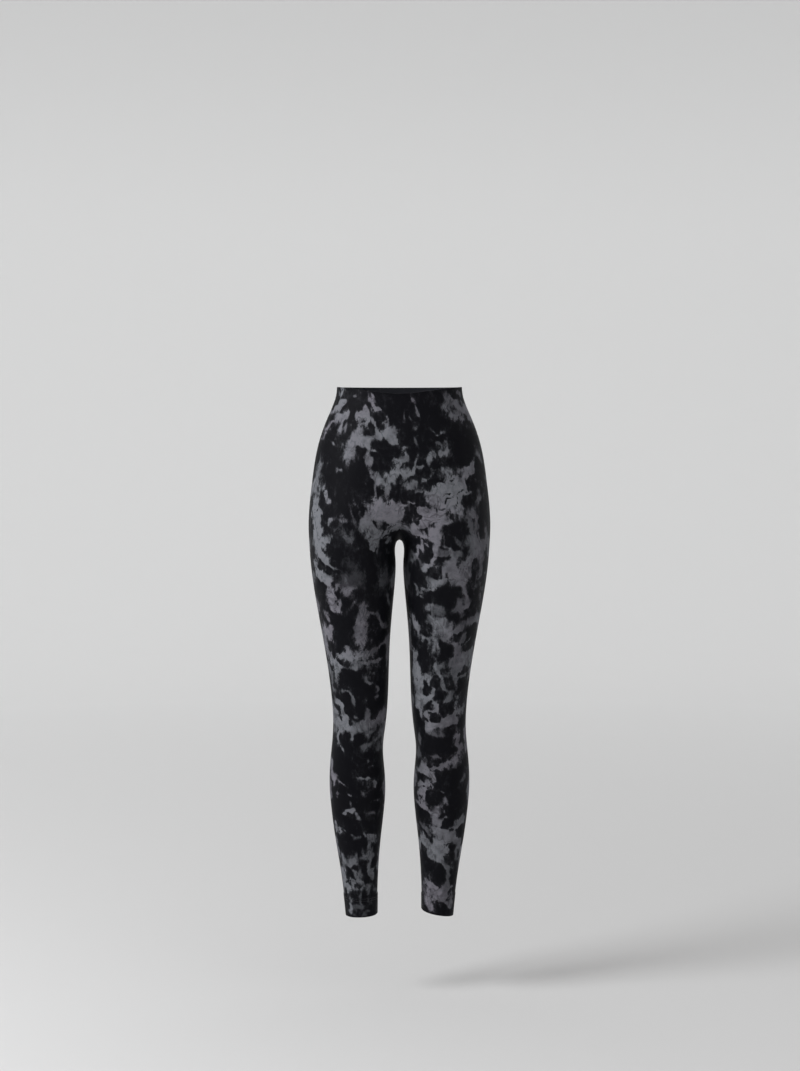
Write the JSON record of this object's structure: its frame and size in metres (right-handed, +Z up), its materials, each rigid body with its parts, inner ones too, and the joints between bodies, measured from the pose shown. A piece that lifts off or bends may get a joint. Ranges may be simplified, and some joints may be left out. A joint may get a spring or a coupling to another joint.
{
  "type": "high-waisted leggings",
  "caption": "Full-length high-waisted leggings with a wide waistband, gusset and cuffed hems, open at waist and ankles, held in their worn shape.",
  "frame": {"origin": "middle of the waist opening, level with its edge at the sides, where the wearer's waist holds the leggings up", "axes": "+Z up along the legs, +X to the wearer's left, -Y to the front"},
  "size_m": [0.3426, 0.2222, 1.0031],
  "materials": {
    "printed_jersey": "matte stretch jersey, marbled near-black and grey",
    "plain_jersey": "matte stretch jersey, plain near-black"
  },
  "bodies": {
    "root": {"waistband_front": "printed_jersey", "waistband_back": "printed_jersey", "front_left": "printed_jersey", "front_right": "printed_jersey", "back_left": "printed_jersey", "back_right": "printed_jersey", "gusset": "plain_jersey", "hem_left": "printed_jersey", "hem_right": "printed_jersey"}
  },
  "joints": []
}
